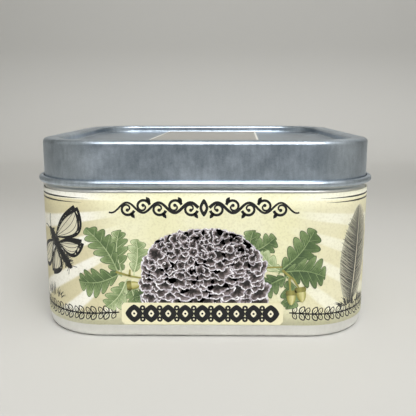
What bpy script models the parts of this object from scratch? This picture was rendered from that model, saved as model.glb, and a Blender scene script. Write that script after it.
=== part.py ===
"""Square slip-lid tin: a drawn body with a stepped neck, a telescoping lid with a rolled bead,
a paper label wrapped round the body and a small paper label on the recessed lid panel.

Metres, +Z up. The origin is the centre of the base, on the surface that the tin stands on."""

import math

import bmesh
import bpy
from mathutils import Vector

MM = 0.001

# Driving dimensions
WIDTH = 102.0 * MM           # across the flat walls, body and lid alike
HEIGHT = 59.2 * MM           # base to the top of the lid's rim
CORNER_RADIUS = 20.5 * MM    # upright corners of the walls, outside
SHEET = 0.3 * MM             # tinplate thickness
FIT_GAP = 0.35 * MM          # all round, between the neck and the lid's skirt
LAID_GAP = 0.3 * MM          # between a label and the metal that it lies on

# Body
BASE_RADIUS = 1.8 * MM       # rounded lower edge
BASE_RING = 3.2 * MM         # flat ring that the tin stands on
BASE_PANEL_RISE = 1.0 * MM   # the middle of the base is pressed up by this
SHOULDER_Z = 45.0 * MM       # where the wall steps in to the neck
SHOULDER_RISE = 0.7 * MM
MOUTH_CURL = 0.6 * MM        # inward curl round the mouth, to the middle of the sheet
MOUTH_DROP = 0.7 * MM        # from the top of the lid's rim to the top of the mouth curl

# Lid
BEAD_RADIUS = 0.85 * MM      # rolled edge of the skirt, to the middle of the sheet
BEAD_LOW_Z = 45.9 * MM       # underside of the bead
BEAD_END = 115.0             # degrees, where the rolled sheet stops, short of the skirt
RIM_RADIUS = 1.15 * MM       # outer edge of the lid's top
RIM_WIDTH = 4.3 * MM         # raised rim, from the skirt to the step down
RECESS_DEPTH = 2.6 * MM
RECESS_RADIUS = 0.8 * MM     # both bends of the step

# Labels
PAPER = 0.2 * MM
LABEL_LOW_Z = 4.2 * MM
LABEL_HIGH_Z = 44.2 * MM
SEAM = 0.5 * MM              # slit between the wrap label's ends, at the back
LID_LABEL_SIZE = (38.0 * MM, 80.0 * MM)
LID_LABEL_CORNER = 2.0 * MM
LID_LABEL_TURN = math.radians(-2.8)   # stuck on a little askew

CORNER_STEPS = 8             # segments in each upright corner
BEND_STEPS = 4               # segments in each pressed bend
CURL_STEPS = 9

WALL = WIDTH / 2 - SHEET / 2                     # middle of the wall's sheet
NECK = WIDTH / 2 - SHEET - FIT_GAP - SHEET / 2   # middle of the neck's sheet

TINPLATE_COLOUR = (0.66, 0.66, 0.65, 1.0)
LABEL_COLOUR = (0.86, 0.83, 0.62, 1.0)
LID_LABEL_COLOUR = (0.80, 0.79, 0.74, 1.0)


def clear_scene():
    for obj in list(bpy.data.objects):
        bpy.data.objects.remove(obj)


def material(name, colour, roughness, metallic):
    made = bpy.data.materials.new(name)
    made.use_nodes = True
    shader = made.node_tree.nodes["Principled BSDF"]
    shader.inputs["Base Color"].default_value = colour
    shader.inputs["Roughness"].default_value = roughness
    shader.inputs["Metallic"].default_value = metallic
    return made


def bend(centre, radius, start, end, steps=BEND_STEPS):
    """Points on an arc in the (outward, up) plane of a wall's section, from start to end degrees."""
    points = []
    for i in range(steps + 1):
        angle = math.radians(start + (end - start) * i / steps)
        points.append((centre[0] + radius * math.cos(angle), centre[1] + radius * math.sin(angle)))
    return points


def body_section():
    """The body's sheet from the raised base panel out, up the wall, over the neck and into the curl."""
    floor = SHEET / 2
    edge = (WALL - BASE_RADIUS, floor + BASE_RADIUS)
    ring_in = edge[0] - BASE_RING
    half_rise = BASE_PANEL_RISE / 2
    section = bend((ring_in - BASE_PANEL_RISE, floor + half_rise), half_rise, 90, 0, 2)
    section += bend((ring_in, floor + half_rise), half_rise, 180, 270, 2)
    section += bend(edge, BASE_RADIUS, 270, 360)
    section.append((WALL, SHOULDER_Z - SHOULDER_RISE / 2))
    section.append(((WALL + NECK) / 2, SHOULDER_Z))
    section.append((NECK, SHOULDER_Z + SHOULDER_RISE / 2))
    curl_z = HEIGHT - MOUTH_DROP - SHEET / 2 - MOUTH_CURL
    section += bend((NECK - MOUTH_CURL, curl_z), MOUTH_CURL, 0, 225, 6)
    return section


def lid_section():
    """The lid's sheet from the recessed panel up over the rim, down the skirt and round the bead."""
    top = HEIGHT - SHEET / 2
    step = WIDTH / 2 - RIM_WIDTH
    floor = top - RECESS_DEPTH
    section = bend((step - 2 * RECESS_RADIUS, floor + RECESS_RADIUS), RECESS_RADIUS, 270, 360, 3)
    section += bend((step, top - RECESS_RADIUS), RECESS_RADIUS, 180, 90, 3)
    section += bend((WALL - RIM_RADIUS, top - RIM_RADIUS), RIM_RADIUS, 90, 0)
    bead = (WALL + BEAD_RADIUS, BEAD_LOW_Z + BEAD_RADIUS + SHEET / 2)
    section += bend(bead, BEAD_RADIUS, 180, 360 + BEAD_END, CURL_STEPS)
    return section


def rounded_square(half, radius):
    """A mesh with one face, a square with its four corners rounded off in CORNER_STEPS steps."""
    mesh = bmesh.new()
    bmesh.ops.create_grid(mesh, x_segments=1, y_segments=1, size=half)
    bmesh.ops.bevel(
        mesh,
        geom=list(mesh.verts),
        offset=radius,
        offset_type="OFFSET",
        segments=CORNER_STEPS,
        profile=0.5,
        affect="VERTICES",
    )
    return mesh


def outward(place, half, radius):
    """The direction, seen from above, in which the outline grows at this vertex."""
    middle = half - radius
    corner = Vector((math.copysign(middle, place.x), math.copysign(middle, place.y), 0.0))
    return (Vector((place.x, place.y, 0.0)) - corner).normalized()


def pressed_sheet(name, section, finish):
    """A tray of sheet metal. The section's first point is the rim of the flat panel, and each later
    point draws the sheet's edge on, outward or inward and up or down, all round the rounded square."""
    half, level = section[0]
    radius = CORNER_RADIUS - (WIDTH / 2 - half)
    sheet = rounded_square(half, radius)
    for vertex in sheet.verts:
        vertex.co.z = level
    directions = {v: outward(v.co, half, radius) for v in sheet.verts}
    edge = list(sheet.edges)
    for (reach, height), (next_reach, next_height) in zip(section, section[1:]):
        drawn = bmesh.ops.extrude_edge_only(sheet, edges=edge)["geom"]
        edge = [item for item in drawn if isinstance(item, bmesh.types.BMEdge) and item.is_boundary]
        rim = {vertex for item in edge for vertex in item.verts}
        sources = {tuple(round(c, 9) for c in v.co): d for v, d in directions.items()}
        directions = {v: sources[tuple(round(c, 9) for c in v.co)] for v in rim}
        for vertex, direction in directions.items():
            vertex.co += direction * (next_reach - reach) + Vector((0.0, 0.0, next_height - height))
    bmesh.ops.recalc_face_normals(sheet, faces=sheet.faces)
    obj = place_mesh(name, sheet, finish)
    thicken(obj, SHEET)
    return obj


def thicken(obj, thickness):
    """Gives an open surface its wall, half to each side."""
    wall = obj.modifiers.new("sheet", "SOLIDIFY")
    wall.thickness = thickness
    wall.offset = 0.0
    wall.use_even_offset = True


def place_mesh(name, shape, finish):
    mesh = bpy.data.meshes.new(name)
    shape.to_mesh(mesh)
    shape.free()
    mesh.materials.append(finish)
    mesh.shade_smooth()
    mesh.set_sharp_from_angle(angle=math.radians(40))
    obj = bpy.data.objects.new(name, mesh)
    bpy.context.scene.collection.objects.link(obj)
    return obj


def wrap_outline(reach):
    """Points of the wrap label seen from above, from one side of the seam right round to the other."""
    radius = CORNER_RADIUS + reach - WIDTH / 2
    middle = reach - radius
    points = [(SEAM / 2, reach)]
    for quarter in range(4):
        start = math.pi / 2 - quarter * math.pi / 2
        centre = Vector((middle * (1, 1, -1, -1)[quarter], middle * (1, -1, -1, 1)[quarter]))
        for i in range(CORNER_STEPS + 1):
            angle = start - math.pi / 2 * i / CORNER_STEPS
            points.append(tuple(centre + radius * Vector((math.cos(angle), math.sin(angle)))))
    points.append((-SEAM / 2, reach))
    return points


def wrap_label(name, finish):
    """A paper strip standing on edge round the body, as an extruded open curve with a thickness."""
    curve = bpy.data.curves.new(name, "CURVE")
    curve.dimensions = "2D"
    curve.fill_mode = "NONE"
    curve.extrude = (LABEL_HIGH_Z - LABEL_LOW_Z) / 2
    outline = wrap_outline(WIDTH / 2 + LAID_GAP + PAPER / 2)
    spline = curve.splines.new("POLY")
    spline.points.add(len(outline) - 1)
    for point, (x, y) in zip(spline.points, outline):
        point.co = (x, y, 0.0, 1.0)
    curve.materials.append(finish)
    obj = bpy.data.objects.new(name, curve)
    bpy.context.scene.collection.objects.link(obj)
    obj.location.z = (LABEL_LOW_Z + LABEL_HIGH_Z) / 2
    thicken(obj, PAPER)
    return obj


def lid_label(name, finish):
    """A flat paper label with rounded corners, on the recessed panel of the lid."""
    bpy.ops.mesh.primitive_cube_add(size=1.0)
    obj = bpy.context.active_object
    obj.name = name
    obj.scale = (*LID_LABEL_SIZE, PAPER)
    bpy.ops.object.transform_apply(location=False, rotation=False, scale=True)
    obj.data.materials.append(finish)
    corners = obj.modifiers.new("corners", "BEVEL")
    corners.width = LID_LABEL_CORNER
    corners.segments = 4
    corners.limit_method = "WEIGHT"
    mark_upright_edges(obj.data)
    panel_top = HEIGHT - RECESS_DEPTH
    obj.location = (0.0, 0.0, panel_top + LAID_GAP + PAPER / 2)
    obj.rotation_euler.z = LID_LABEL_TURN
    return obj


def mark_upright_edges(mesh):
    """Gives the four upright edges of a box the weight that its Bevel modifier looks for."""
    weights = mesh.attributes.new("bevel_weight_edge", "FLOAT", "EDGE")
    for edge in mesh.edges:
        along = mesh.vertices[edge.vertices[1]].co - mesh.vertices[edge.vertices[0]].co
        weights.data[edge.index].value = 1.0 if abs(along.z) > abs(along.x) + abs(along.y) else 0.0


def gather(name, objects):
    """Puts the finished pieces in a collection of their own."""
    collection = bpy.data.collections.new(name)
    bpy.context.scene.collection.children.link(collection)
    for obj in objects:
        for held_in in list(obj.users_collection):
            held_in.objects.unlink(obj)
        collection.objects.link(obj)


def main():
    clear_scene()
    tinplate = material("tinplate", TINPLATE_COLOUR, 0.35, 1.0)
    paper = material("label_paper", LABEL_COLOUR, 0.45, 0.0)
    lid_paper = material("lid_label_paper", LID_LABEL_COLOUR, 0.4, 0.0)
    gather(
        "square_slip_lid_tin",
        [
            pressed_sheet("tin_body", body_section(), tinplate),
            pressed_sheet("lid", lid_section(), tinplate),
            wrap_label("body_label", paper),
            lid_label("lid_label", lid_paper),
        ],
    )


main()
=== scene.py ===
# %% [markdown]
# # A square slip-lid tin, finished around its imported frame
#
# The construction is done before this lesson starts: the frame brings in the body, the lid and
# two paper labels as plain solids, with the slide on which the lid lifts. Here each of them gets its
# looks. The metal is swept again with finer bends, the label gets its printed picture, and every
# surface gets a material that is worked out by nodes.

# %% Load the frame
import math

import bmesh
import bpy
import numpy as np
from mathutils import Matrix, Vector


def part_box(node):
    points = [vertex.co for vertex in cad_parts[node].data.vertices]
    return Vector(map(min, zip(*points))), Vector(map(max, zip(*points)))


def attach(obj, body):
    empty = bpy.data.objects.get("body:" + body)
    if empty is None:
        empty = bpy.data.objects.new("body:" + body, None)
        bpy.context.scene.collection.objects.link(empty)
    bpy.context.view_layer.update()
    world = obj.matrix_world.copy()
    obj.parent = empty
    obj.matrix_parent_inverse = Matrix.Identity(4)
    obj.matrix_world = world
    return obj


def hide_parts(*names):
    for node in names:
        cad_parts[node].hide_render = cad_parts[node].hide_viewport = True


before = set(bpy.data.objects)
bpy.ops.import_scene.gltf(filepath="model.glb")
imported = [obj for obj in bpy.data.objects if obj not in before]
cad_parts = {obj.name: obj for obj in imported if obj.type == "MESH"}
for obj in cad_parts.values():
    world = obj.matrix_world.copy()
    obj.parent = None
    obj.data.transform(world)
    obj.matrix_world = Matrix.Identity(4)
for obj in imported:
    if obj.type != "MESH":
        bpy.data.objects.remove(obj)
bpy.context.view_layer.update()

MM = 0.001
print("frame:", ", ".join(sorted(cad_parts)))

# %% [markdown]
# ## Sizes
#
# Outer sizes are read from the frame, so the finish always fits the metal that was packed. The
# frame is made of loose triangles, so the round corners are measured from it: the flat part of a wall
# ends at the last point that still lies in its plane.

# %% Read the outer sizes
NEAR = 0.01 * MM               # closer than this counts as the same place


def flat_reach(node, plane):
    """How far the flat part of a node's front wall reaches from the middle."""
    places = [vertex.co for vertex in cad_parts[node].data.vertices]
    return max(place.x for place in places if abs(place.y + plane) < NEAR)


LABEL_LOW, LABEL_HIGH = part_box("body_label")
LID_LOW, LID_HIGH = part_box("lid")
BODY_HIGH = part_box("tin_body")[1]
WALL = BODY_HIGH.x                                # flat walls, from the middle
PRINT = LABEL_HIGH.x                              # printed face of the wrap label
FLAT = flat_reach("body_label", PRINT)            # half of each flat wall
CORNER = PRINT - FLAT                             # radius of the label's corners
TOP = LID_HIGH.z
QUARTER = 2 * FLAT + math.pi / 2 * CORNER         # a quarter of the way round the label
print(f"wall {WALL / MM:.1f} mm, corners {CORNER / MM:.1f} mm, label {4 * QUARTER / MM:.0f} mm round")

# %% Name the sizes that the frame doesn't give
SHEET = 0.3 * MM
PANEL_BAND = 2.0 * MM          # strip of a flat panel that is swept before the rest is filled
BEND_RADIUS = 1.15 * MM        # outer edge of the lid's top
BEAD_END = 475                 # degrees, where the rolled sheet of the bead stops
RIM_WIDTH = 4.3 * MM
RECESS_DEPTH = 2.6 * MM
RECESS_RADIUS = 0.8 * MM
BASE_RADIUS = 1.8 * MM
BASE_RING = 3.2 * MM
BASE_RISE = 1.0 * MM
SHOULDER_Z = 45.0 * MM
SHOULDER_RISE = 0.7 * MM
NECK_GAP = 0.35 * MM
CURL_RADIUS = 0.6 * MM         # inward curl round the mouth
CURL_END = 225                 # degrees, where it stops
PAPER = 0.2 * MM
LAYER = 0.003 * MM             # step between one layer of print and the next
CORNER_STEPS = 32              # flat steps in each round corner
print(f"sheet {SHEET / MM:.1f} mm, paper {PAPER / MM:.1f} mm, a layer of print {LAYER / MM:.3f} mm")

# %% [markdown]
# ## Two small tools for node trees
#
# Materials and geometry are both drawn as trees of nodes. One method adds any node, so that a
# tree reads from top to bottom like a recipe. Sums on a shader's values are written as ordinary
# Python: the `Value` class wraps an output, and each operator adds the Math node that it stands for.

# %% A class that adds nodes
class Tree:
    """A node tree that is being drawn, either a material's or a geometry recipe's."""

    def __init__(self, tree):
        self.tree = tree

    def plug(self, socket, value):
        if isinstance(value, Value):
            self.tree.links.new(value.socket, socket)
        elif isinstance(value, bpy.types.NodeSocket):
            self.tree.links.new(value, socket)
        elif value is not None:
            socket.default_value = value

    def add(self, kind, settings=(), inputs=(), output=0):
        """Adds a node: its settings first, then its sockets, by name or number. Returns an output."""
        node = self.tree.nodes.new(kind)
        for name, value in dict(settings).items():
            if name == "stops":
                set_stops(node.color_ramp, value)
            else:
                setattr(node, name, value)
        for key, value in dict(inputs).items():
            self.plug(node.inputs[key], value)
        return Value(self, node.outputs[output])

    def mix(self, factor, first, second):
        """One colour changing into another as the factor goes from 0 to 1."""
        return self.add("ShaderNodeMix", {"data_type": "RGBA"}, {0: factor, 6: first, 7: second}, output=2)


def set_stops(ramp, stops):
    """Gives a colour ramp its stops, each a position and a colour."""
    while len(ramp.elements) < len(stops):
        ramp.elements.new(1.0)
    for element, (position, colour) in zip(ramp.elements, stops):
        element.position = position
        element.color = colour


# %% A class for sums on values
class Value:
    """One output of a node. Arithmetic on it adds Math nodes to the same tree."""

    def __init__(self, tree, socket):
        self.tree = tree
        self.socket = socket

    def math(self, operation, other=None):
        """The Math node for this value, and for another one after it."""
        return self.tree.add("ShaderNodeMath", {"operation": operation}, {0: self, 1: other})

    def after(self, operation, first):
        """The same with the other value in front, for the reflected operators."""
        return self.tree.add("ShaderNodeMath", {"operation": operation}, {0: first, 1: self})

    def __add__(self, other):
        return self.math("ADD", other)

    def __radd__(self, other):
        return self.after("ADD", other)

    def __sub__(self, other):
        return self.math("SUBTRACT", other)

    def __rsub__(self, other):
        return self.after("SUBTRACT", other)

    def __mul__(self, other):
        return self.math("MULTIPLY", other)

    def __rmul__(self, other):
        return self.after("MULTIPLY", other)

    def abs(self):
        return self.math("ABSOLUTE")

    def above(self, edge, softness):
        """0 below the edge and 1 above it, with a soft step between."""
        settings = {"interpolation_type": "SMOOTHSTEP"}
        inputs = {0: self, 1: edge - softness, 2: edge + softness}
        return self.tree.add("ShaderNodeMapRange", settings, inputs)


# %% A class for materials
class Finish(Tree):
    """A material on a Principled shader."""

    def __init__(self, name, constants):
        self.material = bpy.data.materials.new(name)
        self.material.use_nodes = True
        super().__init__(self.material.node_tree)
        self.shader = self.tree.nodes["Principled BSDF"]
        for title, value in constants.items():
            self.shader.inputs[title].default_value = value

    def drive(self, title, value):
        """Links a value that changes over the surface to one of the shader's sockets."""
        self.plug(self.shader.inputs[title], value)

    def place(self):
        """The place on the piece, in its own axes."""
        return self.add("ShaderNodeTexCoord", output="Object")

    def noise(self, scale, detail=3.0, stretch=(1.0, 1.0, 1.0), roughness=0.5):
        """Noise on the piece's own place, with its grain drawn out along an axis."""
        place = self.add("ShaderNodeMapping", (), {"Vector": self.place(), "Scale": stretch})
        inputs = {"Vector": place, "Scale": scale, "Detail": detail, "Roughness": roughness}
        return self.add("ShaderNodeTexNoise", (), inputs)

    def bump(self, height, distance, strength):
        inputs = {"Height": height, "Distance": distance, "Strength": strength}
        self.drive("Normal", self.add("ShaderNodeBump", (), inputs))


def shade(hex_code):
    """A screen colour such as #e8e0c0 as the linear colour that a shader takes."""
    channels = [int(hex_code[i:i + 2], 16) / 255 for i in (1, 3, 5)]
    return (*[c / 12.92 if c <= 0.04045 else ((c + 0.055) / 1.055) ** 2.4 for c in channels], 1.0)


print("node tools are ready")

# %% [markdown]
# ## Frosted tinplate
#
# Tinplate is steel with a thin coat of tin. It isn't a clean mirror: the tin freezes in soft grains,
# rolling draws them out, and hands and stacking leave cloudy patches. So one broad noise changes the
# colour and the roughness together, and a fine grain gives a low bump that breaks up reflections.

# %% Make the tinplate
def tinplate(name, colour, bright, grain):
    """Tinplate with a drawn-out grain. The grain is the stretch of its fine noise along X, Y and Z."""
    finish = Finish(name, {"Metallic": 1.0})
    cloud = finish.noise(38.0, detail=4.0, roughness=0.6)
    patch = finish.noise(120.0, detail=5.0, roughness=0.65)
    fine = finish.noise(900.0, detail=2.0, stretch=grain)
    speck = finish.noise(2600.0, detail=1.0)
    frost = cloud.above(0.56, 0.16) * 0.6 + patch.above(0.55, 0.12) * 0.4
    tone = frost * 0.46 + fine * 0.46 + speck * 0.3
    finish.drive("Base Color", finish.mix(tone, shade(colour), shade(bright)))
    finish.drive("Roughness", 0.25 + frost * 0.14 + fine * 0.1)
    finish.bump(fine * 0.7 + speck * 0.3, 0.02 * MM, 0.35)
    return finish.material


BODY_TIN = tinplate("body_tinplate", "#e4e4df", "#fafaf7", (1.0, 1.0, 0.25))
# The lid is the same tinplate as the body. Its darker, bluer colours are a painted reflection of the dim
# blue room in front of it.
LID_TIN_PAINTED_REFLECTION = tinplate("lid_tinplate", "#7b8996", "#d0dae4", (1.0, 1.0, 0.3))
print("tinplate for the body and, darker, for the lid")

# %% [markdown]
# ## Sweeping the metal
#
# A drawn tin is one section carried round a rounded square. Geometry Nodes say that directly: a
# Quadrilateral curve with filleted corners is the path, the section is the profile, and Curve to Mesh
# sweeps it. The section can't reach the middle of the panel, because the corners would cross, so the
# flat panel is filled afterwards, and a Solidify modifier gives the sheet its thickness.

# %% A class for geometry recipes
class Recipe(Tree):
    """A Geometry Nodes tree with named inputs."""

    def __init__(self, name, inputs):
        super().__init__(bpy.data.node_groups.new(name, "GeometryNodeTree"))
        face = self.tree.interface
        face.new_socket("Geometry", in_out="INPUT", socket_type="NodeSocketGeometry")
        face.new_socket("Geometry", in_out="OUTPUT", socket_type="NodeSocketGeometry")
        for title, kind in inputs.items():
            face.new_socket(title, in_out="INPUT", socket_type=kind)
        self.given = self.tree.nodes.new("NodeGroupInput")

    def end(self, geometry, material):
        """Closes the recipe: instances are made real and the material is set."""
        real = self.add("GeometryNodeRealizeInstances", (), {"Geometry": geometry})
        result = self.add("GeometryNodeSetMaterial", (), {"Geometry": real, "Material": material})
        self.plug(self.tree.nodes.new("NodeGroupOutput").inputs[0], result)

    def run(self, source, values):
        """Runs the recipe on a mesh and returns the result as a plain mesh."""
        carrier = bpy.data.objects.new(self.tree.name, source)
        bpy.context.scene.collection.objects.link(carrier)
        modifier = carrier.modifiers.new("recipe", "NODES")
        modifier.node_group = self.tree
        for item in self.tree.interface.items_tree:
            if item.in_out == "INPUT" and item.name in values:
                modifier[item.identifier] = values[item.name]
        posed = carrier.evaluated_get(bpy.context.evaluated_depsgraph_get())
        plain = bpy.data.meshes.new_from_object(posed)
        bpy.data.objects.remove(carrier)
        return plain


# %% The recipe that sweeps a section
def sweep_recipe():
    inputs = {
        "Width": "NodeSocketFloat",
        "Corner Radius": "NodeSocketFloat",
        "Corner Steps": "NodeSocketInt",
        "Metal": "NodeSocketMaterial",
    }
    recipe = Recipe("sweep_round_rounded_square", inputs)
    given = recipe.given.outputs
    sides = {"Width": given["Width"], "Height": given["Width"]}
    square = recipe.add("GeometryNodeCurvePrimitiveQuadrilateral", {"mode": "RECTANGLE"}, sides)
    rounding = {"Curve": square, "Count": given["Corner Steps"], "Radius": given["Corner Radius"]}
    path = recipe.add("GeometryNodeFilletCurve", {"mode": "POLY"}, rounding)
    section = recipe.add("GeometryNodeMeshToCurve", (), {"Mesh": given["Geometry"]})
    swept = recipe.add("GeometryNodeCurveToMesh", (), {"Curve": path, "Profile Curve": section})
    recipe.end(swept, given["Metal"])
    return recipe


SWEEP = sweep_recipe()
print("sweep recipe:", len(SWEEP.tree.nodes), "nodes")

# %% Sections
def bend(centre, radius, start, end, steps=8):
    """Points on an arc of a section, as (reach from the middle, height)."""
    turns = [math.radians(start + (end - start) * i / steps) for i in range(steps + 1)]
    return [(centre[0] + radius * math.cos(t), centre[1] + radius * math.sin(t)) for t in turns]


def held(section, hold=0.25 * MM):
    """The section with a point close to each end of its long flats, so that they shade flat."""
    points = [section[0]]
    for first, last in zip(section, section[1:]):
        run = Vector(last) - Vector(first)
        if run.length > 6 * hold:
            step = run.normalized() * hold
            points += [tuple(Vector(first) + step), tuple(Vector(last) - step)]
        points.append(last)
    return points


def lid_section():
    top = TOP - SHEET / 2
    wall = WALL - SHEET / 2
    step = WALL - RIM_WIDTH
    floor = top - RECESS_DEPTH
    bead_radius = (LID_HIGH.x - SHEET / 2 - wall) / 2
    bead = (wall + bead_radius, LID_LOW.z + bead_radius + SHEET / 2)
    section = [(step - 2 * RECESS_RADIUS - PANEL_BAND, floor)]
    section += bend((step - 2 * RECESS_RADIUS, floor + RECESS_RADIUS), RECESS_RADIUS, 270, 360)
    section += bend((step, top - RECESS_RADIUS), RECESS_RADIUS, 180, 90)
    section += bend((wall - BEND_RADIUS, top - BEND_RADIUS), BEND_RADIUS, 90, 0)
    section += bend(bead, bead_radius, 180, BEAD_END, 22)
    return section


def body_section():
    wall = WALL - SHEET / 2
    neck = WALL - 1.5 * SHEET - NECK_GAP
    floor = SHEET / 2
    ring = wall - BASE_RADIUS - BASE_RING
    half = BASE_RISE / 2
    section = [(ring - BASE_RISE - PANEL_BAND, floor + BASE_RISE)]
    section += bend((ring - BASE_RISE, floor + half), half, 90, 0, 5)
    section += bend((ring, floor + half), half, 180, 270, 5)
    section += bend((wall - BASE_RADIUS, floor + BASE_RADIUS), BASE_RADIUS, 270, 360)
    section += [(wall, SHOULDER_Z - SHOULDER_RISE / 2), ((wall + neck) / 2, SHOULDER_Z)]
    section.append((neck, SHOULDER_Z + SHOULDER_RISE / 2))
    curl_z = BODY_HIGH.z - SHEET / 2 - CURL_RADIUS
    section += bend((neck - CURL_RADIUS, curl_z), CURL_RADIUS, 0, CURL_END, 14)
    return section


# %% Sweep the lid and the body
def pressed(name, section, metal, body):
    """Sweeps a section, fills the flat panel inside its first point and gives the sheet its wall."""
    path_reach = WALL - SHEET / 2
    points = [(reach - path_reach, -height, 0.0) for reach, height in held(section)]
    profile = bpy.data.meshes.new(name + "_section")
    profile.from_pydata(points, [(i, i + 1) for i in range(len(points) - 1)], [])
    values = {
        "Width": 2 * path_reach,
        "Corner Radius": CORNER - (PRINT - path_reach),
        "Corner Steps": CORNER_STEPS,
        "Metal": metal,
    }
    mesh = SWEEP.run(profile, values)
    shape = bmesh.new()
    shape.from_mesh(mesh)
    rim = [edge for edge in shape.edges if edge.is_boundary]
    panel_height = section[0][1]
    panel = [e for e in rim if all(abs(v.co.z - panel_height) < NEAR for v in e.verts)]
    inner = [e for e in panel if max(abs(c) for c in e.verts[0].co.xy) < section[0][0] + NEAR]
    bmesh.ops.edgeloop_fill(shape, edges=inner)
    bmesh.ops.recalc_face_normals(shape, faces=shape.faces)
    shape.to_mesh(mesh)
    shape.free()
    mesh.shade_smooth()
    piece = add_piece(name, mesh, body)
    wall = piece.modifiers.new("sheet", "SOLIDIFY")
    wall.thickness = SHEET
    wall.offset = 0.0
    wall.use_even_offset = True
    return piece


def add_piece(name, mesh, body):
    """Puts a finished mesh in the scene, riding on a body."""
    mesh.name = name
    piece = bpy.data.objects.new(name, mesh)
    bpy.context.scene.collection.objects.link(piece)
    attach(piece, body)
    return piece


lid_metal = pressed("lid_metal", lid_section(), LID_TIN_PAINTED_REFLECTION, "lid")
body_metal = pressed("body_metal", body_section(), BODY_TIN, "tin")
for piece, node in ((lid_metal, "lid"), (body_metal, "tin_body")):
    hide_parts(node)
    print(piece.name, len(piece.data.polygons), "faces")

# %% [markdown]
# ## Working on the flat label
#
# The label was printed flat and then wrapped, and it is easiest to draw the same way. Everything
# is drawn in a flat plane: X runs along the wall from the middle of the front, Y runs up from the
# surface that the tin stands on, and Z is how far a layer of print lies above the paper. One function
# then carries each point round the wall. Shapes are cut along the same folds as the paper first, so
# that every facet of print lies exactly parallel to the facet of paper under it.

# %% Wrap a flat place round the wall
def on_wall(flat):
    """Carries flat places (along, up, lift) round the walls. Takes and gives an array of rows."""
    along, up, lift = np.asarray(flat, float).T
    side = np.round(along / QUARTER)
    local = along - side * QUARTER
    turn = np.maximum(np.abs(local) - FLAT, 0.0) / CORNER
    reach = CORNER + lift
    x = np.sign(local) * (np.minimum(np.abs(local), FLAT) + reach * np.sin(turn))
    y = -(FLAT + reach * np.cos(turn))
    spin = side * math.pi / 2
    cosine, sine = np.cos(spin), np.sin(spin)
    return np.column_stack([x * cosine - y * sine, x * sine + y * cosine, up])


def fold_places():
    """Where the strip is folded: at both ends of each flat wall, and evenly through each corner."""
    step = (QUARTER - 2 * FLAT) / CORNER_STEPS
    from_middle = [FLAT + step * i for i in range(CORNER_STEPS // 2 + 1)]
    one_side = {round(sign * fold, 9) for fold in from_middle for sign in (-1, 1)}
    return sorted({round(side * QUARTER + fold, 9) for side in range(-2, 3) for fold in one_side})


FOLDS = fold_places()
print(len(FOLDS), "folds")

# %% Lay a flat drawing on the wall
def lay(name, flat, ink):
    """Cuts a flat mesh along the folds, wraps it and adds it to the tin."""
    shape = bmesh.new()
    shape.from_mesh(flat)
    bmesh.ops.triangulate(shape, faces=shape.faces)
    for face in shape.faces:
        if face.normal.z < 0:
            face.normal_flip()
    span = [vertex.co.x for vertex in shape.verts]
    for fold in FOLDS:
        if min(span) < fold < max(span):
            everything = list(shape.verts) + list(shape.edges) + list(shape.faces)
            bmesh.ops.bisect_plane(
                shape, geom=everything, dist=1e-7, plane_co=(fold, 0, 0), plane_no=(1, 0, 0)
            )
    shape.to_mesh(flat)
    shape.free()
    places = np.empty(len(flat.vertices) * 3, np.float32)
    flat.vertices.foreach_get("co", places)
    flat.vertices.foreach_set("co", on_wall(places.reshape(-1, 3)).astype(np.float32).ravel())
    flat.materials.clear()
    flat.materials.append(ink)
    flat.shade_flat()
    add_piece(name, flat, "tin")
    print(name, len(flat.polygons), "faces")


# %% A pad to draw flat shapes on
class Pad:
    """Collects flat shapes in millimetres. A tone from 0, dark, to 1, light, goes with each point."""

    def __init__(self):
        self.points = []
        self.faces = []
        self.tones = []

    def fill(self, outline, tone, layer):
        """One closed shape."""
        first = len(self.points)
        self.points += [(x, y, layer * LAYER / MM) for x, y in outline]
        self.tones += [tone] * len(outline)
        self.faces.append(range(first, len(self.points)))

    def ribbon(self, rows, tones, layer):
        """A band of quads between rows of points that run side by side."""
        first = len(self.points)
        count = len(rows[0])
        for row, tone in zip(rows, tones):
            row_tones = np.broadcast_to(tone, count)
            self.points += [(x, y, layer * LAYER / MM) for x, y in row]
            self.tones += [float(value) for value in row_tones]
        for i in range(len(rows) - 1):
            for j in range(count - 1):
                at = first + i * count + j
                self.faces.append((at, at + 1, at + count + 1, at + count))

    def stroke(self, path, width, tone, layer):
        """A pen stroke along a path. The width is one number or one for each point."""
        path = np.asarray(path, float)
        ahead = np.gradient(path, axis=0)
        ahead /= np.maximum(np.linalg.norm(ahead, axis=1, keepdims=True), 1e-9)
        across = np.column_stack([-ahead[:, 1], ahead[:, 0]])
        half = np.broadcast_to(width, len(path))[:, None] / 2
        self.ribbon([path - across * half, path + across * half], [tone, tone], layer)

    def mesh(self, name):
        places = [tuple(c * MM for c in point) for point in self.points]
        mesh = bpy.data.meshes.new(name)
        mesh.from_pydata(places, [], [tuple(face) for face in self.faces])
        tone = mesh.attributes.new("tone", "FLOAT", "POINT")
        tone.data.foreach_set("value", self.tones)
        return mesh


print("the drawing pad is ready")

# %% [markdown]
# ## The paper
#
# The label is satin paper printed all over in warm cream. Paler rays spread from behind the picture,
# and again from the middle of the back, and they fade out close to the picture. Rays are a rule about
# direction, so they are a material: the angle of each point round the middle of the rays goes through
# a sine. The paper carries its own flat coordinates in a UV map, because that is the space in which
# it was printed.

# %% Make the printed paper
RAY_CENTRE = (0.0, 42.0)       # mm, just above the picture
RAYS_ROUND = 34.0              # rays in a full turn


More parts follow.
